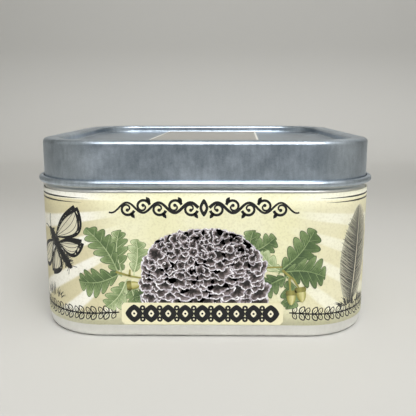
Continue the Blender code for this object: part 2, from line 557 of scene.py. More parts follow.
def printed_paper():
    finish = Finish("printed_paper", {"Specular IOR Level": 0.35})
    flat = finish.add("ShaderNodeUVMap", {"uv_map": "flat"})
    parts = {"Vector": flat}
    along = finish.add("ShaderNodeSeparateXYZ", (), parts, output="X") * 1000.0
    up = finish.add("ShaderNodeSeparateXYZ", (), parts, output="Y") * 1000.0
    to_front = (along - RAY_CENTRE[0]).abs()
    to_back = 2 * QUARTER / MM - to_front
    across = to_front.math("MINIMUM", to_back.abs())
    rise = up - RAY_CENTRE[1]
    angle = rise.math("ARCTAN2", across)
    far = (across * across + rise * rise * 0.4).math("SQRT")
    wander = finish.noise(45.0, detail=2.0) - 0.5
    wave = (angle * RAYS_ROUND + wander * 1.8).math("SINE")
    left = 1.0 - along.above(-20.0, 18.0)          # clear rays to the left of the picture
    right = 0.42 * along.above(20.0, 12.0)         # and fainter ones to its right
    shown = far.above(30.0, 9.0) * (left + right + 0.1) * up.above(7.5, 2.5)
    broad = finish.noise(60.0, detail=3.0)
    grain = finish.noise(1500.0, detail=3.0)
    age = finish.noise(14.0, detail=3.0).above(0.52, 0.14)
    cream = finish.mix(broad.above(0.5, 0.2), shade("#e9e6bd"), shade("#eeecce"))
    beige = finish.mix(age, shade("#d2caa4"), shade("#ddd5b2"))
    ray = finish.mix(wave.above(0.25, 0.35), beige, shade("#f4f2e6"))
    colour = finish.mix(shown, cream, ray)
    colour = finish.mix(grain.above(0.55, 0.08) * 0.13, colour, shade("#a59a70"))
    finish.drive("Base Color", colour)
    finish.drive("Roughness", 0.42 + grain * 0.12)
    finish.bump(grain, 0.01 * MM, 0.3)
    return finish.material


PAPER_PRINT = printed_paper()
print("printed paper:", len(PAPER_PRINT.node_tree.nodes), "nodes")

# %% Wrap the paper, with its overlap at the back
OVERLAP = 5.0                  # mm, glued down at the back
OVERLAP_LIFT = 0.25            # mm
SEAM_MARGIN = 0.2              # mm, kept clear of other columns
PAPER_ROWS = 9
BAKE_ROWS = 3                  # the long strip is baked as this many shorter ones
BAKE_MARGINS = (0.03, 0.02)    # bare share at the ends and edges of each


def paper_columns():
    """Places along the strip, in mm: every fold, and a few more across the flats and the overlap."""
    half = 2 * QUARTER / MM
    columns = [fold / MM for fold in FOLDS]
    for side in range(-2, 3):
        columns += [side * QUARTER / MM + part * FLAT / MM for part in (-0.6, -0.3, 0.0, 0.3, 0.6)]
    columns = [c for c in columns if abs(c) < half - SEAM_MARGIN]
    tail = [half + part * OVERLAP for part in (-0.3, -0.2, -0.1, 0.0, 0.5, 1.0)]
    return sorted(set(round(c, 6) for c in [-half + SEAM_MARGIN / 2] + columns + tail))


def wrap_paper():
    columns = paper_columns()
    rows = np.linspace(LABEL_LOW.z, LABEL_HIGH.z, PAPER_ROWS)
    half = 2 * QUARTER / MM
    flat = []
    for column in columns:
        climb = min(max((column - half + 0.3 * OVERLAP) / (0.3 * OVERLAP), 0.0), 1.0)
        flat += [(column * MM, row, climb * OVERLAP_LIFT * MM) for row in rows]
    count = len(rows)
    faces = []
    for i in range(len(columns) - 1):
        for j in range(count - 1):
            at = i * count + j
            faces.append((at, at + count, at + count + 1, at + 1))
    mesh = bpy.data.meshes.new("wrap_paper")
    mesh.from_pydata([tuple(p) for p in on_wall(flat)], [], faces)
    coordinates(mesh, flat, half)
    mesh.materials.append(PAPER_PRINT)
    mesh.shade_smooth()
    return mesh


def coordinates(mesh, flat, half):
    """Stores the flat places as UVs, and a bake map that stacks the long strip in rows."""
    bake = mesh.uv_layers.new(name="OFBake")
    print_map = mesh.uv_layers.new(name="flat")
    length = 2 * half + OVERLAP
    tall = (LABEL_HIGH.z - LABEL_LOW.z) / MM
    ends, edges = BAKE_MARGINS
    for face in mesh.polygons:
        middle = sum(flat[v][0] / MM for v in face.vertices) / len(face.vertices)
        row = min(int((middle + half) / length * BAKE_ROWS), BAKE_ROWS - 1)
        for loop in face.loop_indices:
            along, up, _ = flat[mesh.loops[loop].vertex_index]
            print_map.data[loop].uv = (along, up)
            part = (along / MM + half) / length * BAKE_ROWS - row
            rise = (up / MM - LABEL_LOW.z / MM) / tall
            inset = (ends + (1 - 2 * ends) * part, edges + (1 - 2 * edges) * rise)
            bake.data[loop].uv = (inset[0], (row + inset[1]) / BAKE_ROWS)


wrap = add_piece("wrap_paper", wrap_paper(), "tin")
wall = wrap.modifiers.new("paper", "SOLIDIFY")
wall.thickness = PAPER
wall.offset = -1.0
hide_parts("body_label")
print("paper", len(wrap.data.polygons), "faces")

# %% [markdown]
# ## Printing inks
#
# The picture is flat shapes in a few inks. Each shape stores a tone on its points, and an ink turns
# the tone into colour, so that a leaf can be dark along its rib and light at its edge with no image.

# %% Make the inks
def ink(name, stops, mottle, mottle_scale=500.0):
    """An ink whose colour runs through stops by tone, with a little uneven printing."""
    finish = Finish(name, {"Specular IOR Level": 0.35})
    tone = finish.add("ShaderNodeAttribute", {"attribute_name": "tone"}, output="Fac")
    uneven = finish.noise(mottle_scale, detail=4.0, roughness=0.6) - 0.5
    grain = finish.noise(1800.0, detail=2.0) - 0.5
    shift = tone + uneven * mottle + grain * mottle * 0.6
    ramp = {"stops": [(position, shade(code)) for position, code in stops]}
    finish.drive("Base Color", finish.add("ShaderNodeValToRGB", ramp, {"Fac": shift}))
    finish.drive("Roughness", 0.45 + uneven * 0.1)
    return finish.material


BLACK_INK = ink(
    "black_ink", [(0.0, "#17181a"), (0.35, "#54554f"), (0.7, "#b3b09c"), (1.0, "#efe9cf")], 0.12
)
LEAF_INK = ink(
    "leaf_ink", [(0.0, "#3b4e36"), (0.35, "#5f7549"), (0.65, "#899d6c"), (1.0, "#c9d3a8")], 0.45
)
FROND_INK = ink(
    "frond_ink",
    [(0.0, "#1a1817"), (0.3, "#4b4341"), (0.6, "#8b7f80"), (0.8, "#c8c2cb"), (1.0, "#f8f6f8")],
    0.35,
    900.0,
)
ACORN_INK = ink("acorn_ink", [(0.0, "#5c5a2c"), (0.5, "#a9a45c"), (1.0, "#dcd6a0")], 0.3)
CREAM_INK = ink("cream_ink", [(0.0, "#e6dfb8"), (1.0, "#f0ebc9")], 0.6)
print("five inks")

# %% [markdown]
# ## Oak leaves and acorns
#
# An oak leaf widens past its middle and is cut into round lobes that lean towards the tip. A
# sine with its sharp ends down gives round lobes and narrow notches, an envelope gives the leaf's
# breadth, and a lean moves each lobe forward by its own width. The blade is a ribbon from the rib to
# the edge, so its tone can change across it.

# %% Draw a leaf
def oak_leaf(pad, root, tip, breadth, tone, layer, lobes, curve):
    """Draws one leaf from its root to its tip, all in millimetres."""
    root, tip = np.array(root, float), np.array(tip, float)
    ahead = tip - root
    length = np.linalg.norm(ahead)
    across = np.array([-ahead[1], ahead[0]]) / length
    s = np.linspace(0.0, 1.0, 61)
    bow = (curve * length * np.sin(math.pi * s))[:, None] * across
    rib = root + s[:, None] * ahead + bow
    envelope = np.sin(math.pi * (0.06 + 0.94 * s) ** 1.15).clip(0) ** 0.7
    for sign, phase in ((1, 0.0), (-1, 0.35)):
        wave = np.abs(np.sin(math.pi * (lobes * s + phase)))
        breadths = breadth * envelope * (0.36 + 0.64 * wave ** 0.55)
        lean = (0.45 * breadths)[:, None] * ahead / length
        edge = rib + lean + sign * breadths[:, None] * across
        side_tone = tone + 0.10 * sign
        middle = rib + 0.55 * (edge - rib)
        rows = [rib, middle, rib + 0.93 * (edge - rib), edge]
        pad.ribbon(rows, [side_tone - 0.14, side_tone + 0.02, side_tone + 0.16, side_tone - 0.28], layer)
        pad.stroke(edge, 0.13, tone - 0.34, layer + 1)
        hatch(pad, rib, edge, tone - 0.24, layer + 1)
        draw_side_veins(pad, rib, edge, wave, tone, layer + 2)
    stem = np.vstack([root - 0.12 * ahead, rib])
    pad.stroke(stem, np.linspace(0.42, 0.10, len(stem)), tone + 0.30, layer + 3)


def hatch(pad, rib, edge, tone, layer):
    """Fine engraved lines from the rib half of the way out, like those that shade a printed leaf."""
    for at in range(6, len(rib) - 8, 3):
        start = rib[at] + 0.08 * (edge[at] - rib[at])
        end = rib[at] + 0.62 * (edge[min(at + 3, len(rib) - 1)] - rib[at])
        pad.stroke([start, (start + end) / 2, end], (0.12, 0.10, 0.03), tone, layer)


def draw_side_veins(pad, rib, edge, wave, tone, layer):
    """One vein to the crest of each lobe, with a fine dark line below it."""
    crests = [i for i in range(2, len(wave) - 2) if wave[i] >= wave[i - 1] and wave[i] > wave[i + 1]]
    for crest in crests:
        start = rib[max(crest - 5, 0)]
        path = start + np.linspace(0, 0.88, 5)[:, None] * (edge[crest] - start)
        pad.stroke(path, np.linspace(0.20, 0.06, 5), tone + 0.28, layer)
        dark = path + (rib[max(crest - 7, 0)] - start) * 0.35
        pad.stroke(dark, np.linspace(0.16, 0.05, 5), tone - 0.32, layer)


def draw_acorn(pad, place, length, turn, layer):
    """A nut with a cup, pointing along its turn in degrees."""
    angle = math.radians(turn)
    ahead = np.array([math.cos(angle), math.sin(angle)])
    across = np.array([-ahead[1], ahead[0]])
    t = np.linspace(0, 1, 13)
    spine = np.array(place) + (t[:, None] - 0.3) * length * ahead
    nut = 0.30 * length * np.sin(math.pi * (0.18 + 0.82 * t)) ** 0.55
    rows = [spine + k * nut[:, None] * across for k in (-1.0, -0.35, 0.4, 1.0)]
    pad.ribbon(rows, [0.15, 0.65, 0.95, 0.30], layer)
    cup_spine = spine[:5]
    cup = 0.36 * length * np.sin(math.pi * np.linspace(0.25, 0.75, 5)) ** 0.5
    rows = [cup_spine + k * cup[:, None] * across for k in (-1.0, 0.0, 1.0)]
    pad.ribbon(rows, [0.0, 0.35, 0.1], layer + 1)


# %% Place the leaves
# root, tip, breadth, tone, lobes; the layers follow the order
LEAVES = [
    ((-20.6, 20.6), (-19.8, 30.6), 2.9, 0.78, 4),
    ((-24.4, 21.0), (-24.6, 33.4), 3.2, 0.60, 5),
    ((-21.6, 17.4), (-19.6, 10.6), 2.4, 0.62, 3),
    ((-23.2, 17.6), (-29.0, 9.8), 3.2, 0.70, 4),
    ((-25.4, 20.8), (-34.6, 33.8), 3.5, 0.46, 6),
    ((-25.4, 19.8), (-37.2, 17.4), 4.2, 0.42, 5),
    ((-15.6, 13.4), (-20.8, 12.8), 2.0, 0.34, 3),
    ((14.0, 25.4), (14.4, 33.4), 2.8, 0.46, 3),
    ((13.2, 26.6), (20.8, 31.4), 2.9, 0.40, 4),
    ((22.4, 21.0), (16.6, 27.0), 2.7, 0.92, 3),
    ((23.0, 21.6), (32.2, 33.6), 4.0, 0.34, 5),
    ((23.4, 20.8), (35.8, 19.2), 4.6, 0.32, 5),
    ((24.0, 19.2), (16.8, 14.4), 3.4, 0.34, 4),
    ((25.0, 18.4), (25.0, 9.4), 3.0, 0.40, 3),
]
SPRIG = [
    ((0.6, 13.0), (1.0, 33.0), 3.9, 0.62, 5),
    ((0.0, 12.0), (-11.5, 26.0), 3.8, 0.46, 5),
    ((1.2, 12.0), (13.0, 24.5), 4.0, 0.36, 5),
]
SPRIG_PLACES = (-94.0, 94.0, 166.0)      # mm along: the sides, and one half of the back
LEAF_FULLNESS = 1.1            # every breadth is multiplied by this
LEAF_LAYER = 2
LAYERS_PER_LEAF = 4


def draw_leaves():
    pad = Pad()
    sprigs = [
        ((a + place, b), (c + place, d), breadth, tone, lobes)
        for place in SPRIG_PLACES
        for (a, b), (c, d), breadth, tone, lobes in SPRIG
    ]
    for order, (root, tip, breadth, tone, lobes) in enumerate(LEAVES + sprigs):
        curve = 0.09 if order % 2 else -0.07
        layer = LEAF_LAYER + LAYERS_PER_LEAF * (order % len(LEAVES))
        oak_leaf(pad, root, tip, LEAF_FULLNESS * breadth, tone, layer, lobes, curve)
    return pad.mesh("oak_leaves")


lay("oak_leaves", draw_leaves(), LEAF_INK)

# %% Place the twigs and acorns
TWIGS = [
    [(-26.0, 20.8), (-22.0, 19.5), (-17.0, 18.6)],
    [(-22.0, 19.5), (-21.8, 21.5)],
    [(13.0, 21.5), (18.0, 22.2), (23.0, 22.4)],
    [(23.0, 21.4), (26.4, 18.6), (28.4, 15.4)],
    [(25.2, 19.0), (25.6, 14.2)],
]
# place, length, turn in degrees
ACORNS = [((-21.6, 16.6), 4.2, 4.0), ((25.8, 13.8), 4.6, -88.0), ((28.6, 14.8), 4.8, -80.0)]
ACORN_LAYER = LEAF_LAYER + LAYERS_PER_LEAF * len(LEAVES)


def draw_acorns():
    pad = Pad()
    for twig in TWIGS:
        pad.stroke(twig, np.linspace(0.75, 0.4, len(twig)), 0.35, ACORN_LAYER)
    for place, length, turn in ACORNS:
        draw_acorn(pad, place, length, turn, ACORN_LAYER + 1)
    return pad.mesh("acorns")


lay("acorns", draw_acorns(), ACORN_INK)

# %% [markdown]
# ## Stamping a motif
#
# Shelves of the cluster, leaflets and a feather's barbs each repeat a small shape many times. A single
# recipe stamps a motif on every mark: a mark is a point with a turn and a size, so Python only says
# where, and the nodes do the copying.

# %% The recipe that stamps
def stamp_recipe():
    inputs = {"Motif": "NodeSocketObject", "Ink": "NodeSocketMaterial"}
    recipe = Recipe("stamp_motif_on_marks", inputs)
    given = recipe.given.outputs
    motif = recipe.add(
        "GeometryNodeObjectInfo", {"transform_space": "ORIGINAL"}, {"Object": given["Motif"]}, "Geometry"
    )
    turn = recipe.add("GeometryNodeInputNamedAttribute", {"data_type": "FLOAT"}, {"Name": "turn"})
    size = recipe.add("GeometryNodeInputNamedAttribute", {"data_type": "FLOAT_VECTOR"}, {"Name": "size"})
    spin = recipe.add("ShaderNodeCombineXYZ", (), {"Z": turn})
    placing = {"Points": given["Geometry"], "Instance": motif, "Rotation": spin, "Scale": size}
    stamped = recipe.add("GeometryNodeInstanceOnPoints", (), placing)
    recipe.end(stamped, given["Ink"])
    return recipe


STAMP = stamp_recipe()
print("stamp recipe:", len(STAMP.tree.nodes), "nodes")


def stamp(name, motif, marks, colour):
    """Stamps a motif's mesh on marks, each (x, y, layer, turn in degrees, width, height). In mm."""
    points = bpy.data.meshes.new(name + "_marks")
    points.from_pydata([(x * MM, y * MM, layer * LAYER) for x, y, layer, *_ in marks], [], [])
    turns = points.attributes.new("turn", "FLOAT", "POINT")
    turns.data.foreach_set("value", [math.radians(mark[3]) for mark in marks])
    sizes = points.attributes.new("size", "FLOAT_VECTOR", "POINT")
    sizes.data.foreach_set("vector", [c for mark in marks for c in (mark[4], mark[5], 1.0)])
    holder = bpy.data.objects.new(name + "_motif", motif)
    bpy.context.scene.collection.objects.link(holder)
    stamped = STAMP.run(points, {"Motif": holder, "Ink": colour})
    bpy.data.objects.remove(holder)
    return stamped


def joined(name, meshes):
    """One mesh out of several."""
    shape = bmesh.new()
    for mesh in meshes:
        shape.from_mesh(mesh)
    whole = bpy.data.meshes.new(name)
    shape.to_mesh(whole)
    shape.free()
    return whole


# %% [markdown]
# ## The mushroom cluster
#
# A frilly cluster is many thin shelves that grow over each other. Each shelf has a dark root under
# the shelf above, streaked flesh and a thin, uneven pale rim at its lower edge. Shelves are broad and
# level near the foot, and turn into small curls that face every way near the top. They are stamped row
# by row from the foot up, over a ring of curls that makes the outline, and a few loose curls lie on
# top of them all.

# %% Draw one shelf
def shelf(seed, sweep):
    """A shelf one millimetre deep that opens downwards, with a wavy pale rim over its sweep."""
    draw = np.random.default_rng(seed)
    turn = np.radians(np.linspace(-sweep, sweep, 21))
    wave = 0.12 * np.sin(turn * draw.uniform(4.0, 6.5) + draw.uniform(0, 6))
    wave += 0.06 * np.sin(turn * draw.uniform(8.0, 12.0) + draw.uniform(0, 6))
    square = 1 / (np.abs(np.sin(turn)) ** 3 + np.abs(np.cos(turn)) ** 3) ** (1 / 3)
    rays = np.column_stack([np.sin(turn), -np.cos(turn)]) * (square * (1.0 + wave))[:, None]
    streak = draw.uniform(-0.22, 0.22, len(turn))
    thin = draw.uniform(0.06, 0.20, len(turn))
    pale = draw.uniform(0.68, 1.10, len(turn))
    steps = [(0.0, 0.0), (0.40, 0.06), (0.56, 0.34), (0.78, 0.50)]
    pad = Pad()
    rows = [rays * part for part, _ in steps]
    fade = [tone + streak * (tone > 0.2) for _, tone in steps]
    rows += [rays * (0.96 - thin)[:, None], rays * (1.0 - thin)[:, None], rays]
    pad.ribbon(rows, fade + [0.44 + streak, pale, pale - 0.05], 0)
    return pad.mesh("shelf")


# %% Grow the cluster
CLUSTER_MIDDLE = -0.2          # mm
CLUSTER_FOOT = 11.0
CLUSTER_WAIST = 19.0
CLUSTER_TOP = 33.0
CLUSTER_HALF = 17.2
ROWS = 14
BROAD_KINDS = 3                # different broad shelves
BROAD_SWEEP = 104              # degrees that a shelf opens to each side
CURL_KINDS = 5                 # different small curls
CURL_SWEEP = 150
LOOSE_CURLS = 40
CLUSTER_LAYER = ACORN_LAYER + 5


def cluster_half(height):
    """Half the cluster's breadth at a height: a dome that draws in a little below its waist."""
    if height < CLUSTER_WAIST:
        drop = (CLUSTER_WAIST - height) / (CLUSTER_WAIST - CLUSTER_FOOT)
        return CLUSTER_HALF * (1 - 0.07 * drop ** 2)
    rise = (height - CLUSTER_WAIST) / (CLUSTER_TOP - CLUSTER_WAIST)
    return CLUSTER_HALF * max(1 - rise ** 2.4, 0.0) ** (1 / 2.4)


def cluster_outline():
    """Points up the right side and down the left one, each with the direction that faces out."""
    turns = np.linspace(0, math.pi, 44)
    rise = CLUSTER_TOP - CLUSTER_WAIST
    x = CLUSTER_HALF * np.sign(np.cos(turns)) * np.abs(np.cos(turns)) ** 0.83
    z = CLUSTER_WAIST + rise * np.sin(turns) ** 0.83
    low = np.arange(CLUSTER_FOOT + 0.6, CLUSTER_WAIST, 1.3)
    sides = [(cluster_half(h), h, 0.0) for h in low] + [(-cluster_half(h), h, 180.0) for h in low]
    dome = [(a, b, math.degrees(t)) for a, b, t in zip(x, z, turns)]
    return [(a + CLUSTER_MIDDLE, b, t) for a, b, t in sides + dome]


def grow_cluster():
    """The marks for each kind of shelf. A broad shelf is now and then the first kind of curl."""
    draw = np.random.default_rng(21)
    kinds = BROAD_KINDS + CURL_KINDS
    marks = [[] for _ in range(kinds)]

    def put(x, z, layer, turn, wide, deep, curl):
        first, last = (BROAD_KINDS, kinds) if curl else (0, BROAD_KINDS + 1)
        marks[draw.integers(first, last)].append((x, z, layer, turn, wide, deep))

    for x, z, facing in cluster_outline():
        inward = 1.2
        place = (x - inward * math.cos(math.radians(facing)), z - inward * math.sin(math.radians(facing)))
        size = draw.uniform(1.1, 2.3)
        turn = facing + 90 + draw.uniform(-35, 35)
        put(*place, CLUSTER_LAYER + draw.integers(2), turn, size, size, True)
    for row, height in enumerate(np.linspace(CLUSTER_FOOT, CLUSTER_TOP - 1.6, ROWS)):
        half = cluster_half(height + 0.8) - 0.4
        share = row / (ROWS - 1)
        broad = 3.4 - 2.0 * share ** 0.7
        deep = 2.5 - 0.9 * share
        x = -half + draw.uniform(0, 1)
        while x < half:
            loose = 12 + 130 * max(share - 0.4, 0.0) + 60 * max(x / CLUSTER_HALF - 0.35, 0.0)
            turn = 34 * x / CLUSTER_HALF + draw.uniform(-loose, loose)
            layer = CLUSTER_LAYER + 2 + 2 * row + draw.integers(2)
            wide = broad * draw.uniform(0.6, 1.3)
            place = (x + CLUSTER_MIDDLE, height + draw.uniform(-0.6, 0.9))
            curl = share > 0.5 and draw.uniform() < 0.75
            put(*place, layer, turn, wide, (wide if curl else deep) * draw.uniform(0.8, 1.2), curl)
            x += wide * draw.uniform(1.15, 1.6)
    for order in range(LOOSE_CURLS):
        height = draw.uniform(CLUSTER_WAIST, CLUSTER_TOP - 1.2)
        half = cluster_half(height) - 1.2
        x = draw.uniform(-half, half)
        size = draw.uniform(0.8, 1.4)
        layer = CLUSTER_LAYER + 2 + 2 * ROWS + order % 4
        put(x + CLUSTER_MIDDLE, height, layer, draw.uniform(-170, 170), size, size, True)
    return marks


def draw_cluster():
    ground = Pad()
    heights = np.linspace(CLUSTER_FOOT, CLUSTER_TOP - 0.8, 30)
    right = [(cluster_half(h + 0.8) - 0.6 + CLUSTER_MIDDLE, h) for h in heights]
    left = [(CLUSTER_MIDDLE + 0.6 - cluster_half(h + 0.8), h) for h in heights[::-1]]
    ground.fill(right + left, 0.02, CLUSTER_LAYER + 1.5)
    sweeps = [BROAD_SWEEP] * BROAD_KINDS + [CURL_SWEEP] * CURL_KINDS
    layers = [ground.mesh("ground")]
    for kind, marks in enumerate(grow_cluster()):
        layers.append(stamp("shelf", shelf(kind, sweeps[kind]), marks, FROND_INK))
    return joined("mushroom_cluster", layers)


lay("mushroom_cluster", draw_cluster(), FROND_INK)

# %% [markdown]
# ## The banner and its band of ornament
#
# The foot of the picture is covered by a cream banner. It carries a bold band of lozenges
# and berries, and the top of the label carries a vine scroll, both in black.

# %% Draw the banner
BANNER_LAYER = CLUSTER_LAYER + 2 * ROWS + 8
BANNER = (-24.6, 23.6, 4.5, 11.3)      # mm: left, right, bottom, top
BANNER_NOTCH = 0.9                     # mm cut off each corner


def draw_banner():
    left, right, low, high = BANNER
    notch = BANNER_NOTCH
    pad = Pad()
    corners = [(left + notch, low), (right - notch, low), (right, low + notch), (right, high - notch)]
    corners += [(right - notch, high), (left + notch, high), (left, high - notch), (left, low + notch)]
    pad.fill(corners, 0.5, BANNER_LAYER)
    return pad.mesh("banner")


lay("banner", draw_banner(), CREAM_INK)

# %% Draw the bold band
BAND_UNITS = 9                 # lozenges in the band
BAND_MARGIN = 2.4              # mm left over at both ends together
BERRY_RISE = 1.75              # mm from the band's middle to a berry's


def lozenge(pad, place, wide, tall, tone, layer):
    """A lozenge with hollow sides."""
    t = np.linspace(0, math.tau, 33)[:-1]
    x = np.sign(np.cos(t)) * np.abs(np.cos(t)) ** 1.4 * wide / 2
    y = np.sign(np.sin(t)) * np.abs(np.sin(t)) ** 1.4 * tall / 2
    pad.fill(np.column_stack([place[0] + x, place[1] + y]), tone, layer)


def disc(pad, place, radius, tone, layer):
    """A round dot."""
    t = np.linspace(0, math.tau, 21)[:-1]
    pad.fill(np.column_stack([place[0] + radius * np.cos(t), place[1] + radius * np.sin(t)]), tone, layer)


def draw_band():
    left, right, low, high = BANNER
    pad = Pad()
    middle = (low + high) / 2
    centre = (left + right) / 2
    pitch = (right - left - BAND_MARGIN) / BAND_UNITS
    for i in range(BAND_UNITS):
        x = centre + (i - (BAND_UNITS - 1) / 2) * pitch
        lozenge(pad, (x, middle), 1.02 * pitch, 5.6, 0.0, BANNER_LAYER + 1)
        lozenge(pad, (x, middle), 0.34 * pitch, 2.2, 1.0, BANNER_LAYER + 2)
        disc(pad, (x, middle), 0.34, 0.0, BANNER_LAYER + 3)
        if i < BAND_UNITS - 1:
            for rise in (-BERRY_RISE, BERRY_RISE):
                disc(pad, (x + pitch / 2, middle + rise), 0.86, 0.0, BANNER_LAYER + 1)
                disc(pad, (x + pitch / 2, middle + rise), 0.24, 1.0, BANNER_LAYER + 2)
    return pad.mesh("band_ornament")


lay("band_ornament", draw_band(), BLACK_INK)

# %% Draw the vine scroll at the top
SCROLL_Z = 40.0                # mm: height of its middle
SCROLL_START = 1.6             # from the middle of the front to the vine
SCROLL_HALF = 27.5
SCROLL_WAVES = 3               # on each side


def volute(pad, centre, radius, start, hand, layer):
    """A curl that winds in to a round bud. Start is in degrees, and hand is 1 or -1."""
    t = np.linspace(0, 1, 26)
    turn = math.radians(start) + hand * t * math.radians(420)
    reach = radius * (1 - 0.80 * t)
    path = np.column_stack([centre[0] + reach * np.cos(turn), centre[1] + reach * np.sin(turn)])
    pad.stroke(path, np.linspace(0.85, 0.42, len(t)), 0.0, layer)
    disc(pad, path[-1], 0.5, 0.0, layer + 1)


def draw_scroll():
    pad = Pad()
    wave = SCROLL_HALF / SCROLL_WAVES
    layer = LEAF_LAYER
    for side in (-1, 1):
        x = np.linspace(SCROLL_START, SCROLL_HALF, 90)
        y = SCROLL_Z + 1.5 * np.sin(math.pi * 2 * (x - SCROLL_START) / wave)
        pad.stroke(np.column_stack([side * x, y]), np.linspace(0.95, 0.5, len(x)), 0.0, layer)
        for half in range(2 * SCROLL_WAVES):
            middle = SCROLL_START + (half + 0.5) * wave / 2 - 0.2
            up = 1 if half % 2 else -1
            if middle < SCROLL_HALF - 1.5:
                centre = (side * (middle + 0.2), SCROLL_Z + up * 0.3)
                volute(pad, centre, 2.15, up * (90 + side * 75), side * -up, layer + 1)
                bud = almond((side * (middle - 1.4), SCROLL_Z + up * 2.3), 2.1, 90 * up - side * 35)
                pad.fill(bud, 0.0, layer + 1)
    lozenge(pad, (0, SCROLL_Z), 2.6, 5.2, 0.0, layer + 3)
    lozenge(pad, (0, SCROLL_Z), 1.0, 2.2, 1.0, layer + 4)
    return pad.mesh("vine_scroll")


def turned(x, y, place, degrees):
    """Numbers or arrays x and y, turned round the origin and then moved to a place."""
    angle = math.radians(degrees)
    c, s = math.cos(angle), math.sin(angle)
    return place[0] + x * c - y * s, place[1] + x * s + y * c


def almond(place, length, turn):
    """The outline of a small pointed leaf round a place."""
    t = np.linspace(0, 1, 9)
    spine = (t - 0.5) * length
    half = 0.26 * length * np.sin(math.pi * t)
    x = np.concatenate([spine, spine[-2:0:-1]])
    y = np.concatenate([half, -half[-2:0:-1]])
    return np.column_stack(turned(x, y, place, turn))


lay("vine_scroll", draw_scroll(), BLACK_INK)

# %% [markdown]
# ## Garlands, rules and the corner pictures
#
# Along the foot a thin stem carries outlined leaflets all the way round, broken only by the banner
# and the seam. A pair of fine rules runs round the top and fades out near the picture. A moth sits on
# the left corner and a tall feather on the right one, both drawn as engravings: a pale ground, an
# outline and hatching.

# %% Draw the garlands
GARLAND_Z = 8.0                # mm: height of the stem
GARLAND_START = 25.4           # just past the banner
GARLAND_MARGIN = 1.0           # from the stem's end to the middle of the back
FIRST_LEAFLET = 26.6
LEAFLET_PITCH = 1.95


def leaflet():
    """An outlined leaflet one millimetre long, with a short rib."""
    pad = Pad()
    t = np.linspace(0, 1, 9)
    half = 0.30 * np.sin(math.pi * t) ** 0.8
    for sign in (-1, 1):
        pad.stroke(np.column_stack([t, sign * half]), 0.14, 0.0, 0)
    pad.stroke([(0.1, 0.0), (0.6, 0.0)], 0.07, 0.0, 0)
    return pad.mesh("leaflet")


def garland_height(x):
    """The stem waves a little on its way round."""
    return GARLAND_Z + 0.5 * math.sin(x / 9.0)


def draw_garland():
    stem = Pad()
    marks = []
    half = 2 * QUARTER / MM - GARLAND_MARGIN
    for side in (-1, 1):
        places = np.arange(GARLAND_START, half, LEAFLET_PITCH / 3)
        path = [(side * x, garland_height(x)) for x in places]
        stem.stroke(path, 0.42, 0.0, LEAF_LAYER)
        for order, x in enumerate(np.arange(FIRST_LEAFLET, half - 1.5, LEAFLET_PITCH)):
            for up in (-1, 1):
                lean = 58.0 if order % 2 else 66.0
                turn = up * lean if side > 0 else 180 - up * lean
                length = 2.5 if order % 2 else 2.1
                marks.append((side * x, garland_height(x), LEAF_LAYER, turn, length, length))
    leaflets = stamp("leaflet", leaflet(), marks, BLACK_INK)
    return joined("garland", [stem.mesh("stem"), leaflets])


lay("garland", draw_garland(), BLACK_INK)

# %% Draw the rules
RULE_STARTS = ((42.7, 33.5), (41.4, 35.5))      # mm: height, and where the rule fades in


def draw_rules():
    pad = Pad()
    half = 2 * QUARTER / MM - 0.6
    for height, start in RULE_STARTS:
        for side in (-1, 1):
            x = np.linspace(start, half, 150)
            width = 0.46 * np.minimum((x - start) / 12.0, 1.0) + 0.04
            pad.stroke(np.column_stack([side * x, np.full(len(x), height)]), width, 0.1, LEAF_LAYER)
    return pad.mesh("rules")


lay("rules", draw_rules(), BLACK_INK)

# %% Draw a bare panel on one half of the back
PANEL = (-182.0, -142.0, 13.5, 38.5)     # mm: left, right, bottom, top
PANEL_STEP = 4.0                         # mm: its ground is laid in strips of this width
PANEL_LINES = ((0.0, 0.5), (1.2, 0.22))  # mm: how far in each line lies, and its width
STUD_INSET = 3.6                         # mm, from the panel's edges
STUD_SIZE = 2.6


def draw_panel_ground():
    left, right, low, high = PANEL
    pad = Pad()
    for x in np.arange(left, right, PANEL_STEP):
        strip = [(x, low), (x + PANEL_STEP, low), (x + PANEL_STEP, high), (x, high)]
        pad.fill(strip, 0.6, LEAF_LAYER)
    return pad.mesh("back_panel")


def draw_panel_lines():
    left, right, low, high = PANEL
    pad = Pad()
    for inset, width in PANEL_LINES:
        a, b, c, d = left + inset, right - inset, low + inset, high - inset
        for ends in (((a, c), (b, c)), ((b, c), (b, d)), ((b, d), (a, d)), ((a, d), (a, c))):
            (x, z), (x_end, z_end) = ends
            along = np.array([x_end - x, z_end - z]) / math.hypot(x_end - x, z_end - z) * width / 2
            path = np.linspace(np.array([x, z]) - along, np.array([x_end, z_end]) + along, 12)
            pad.stroke(path, width, 0.0, LEAF_LAYER + 2)
    for x in (left + STUD_INSET, right - STUD_INSET):
        for z in (low + STUD_INSET, high - STUD_INSET):
            lozenge(pad, (x, z), STUD_SIZE, STUD_SIZE, 0.0, LEAF_LAYER + 2)
    return pad.mesh("back_panel_lines")


lay("back_panel", draw_panel_ground(), CREAM_INK)
lay("back_panel_lines", draw_panel_lines(), BLACK_INK)

# %% Draw the moth
MOTH = (-46.2, 28.5)           # mm: its middle
MOTH_TURN = 40.0               # degrees
MOTH_SIZE = 1.18               # every measure in draw_moth is multiplied by this
MOTH_HAIRS = 90


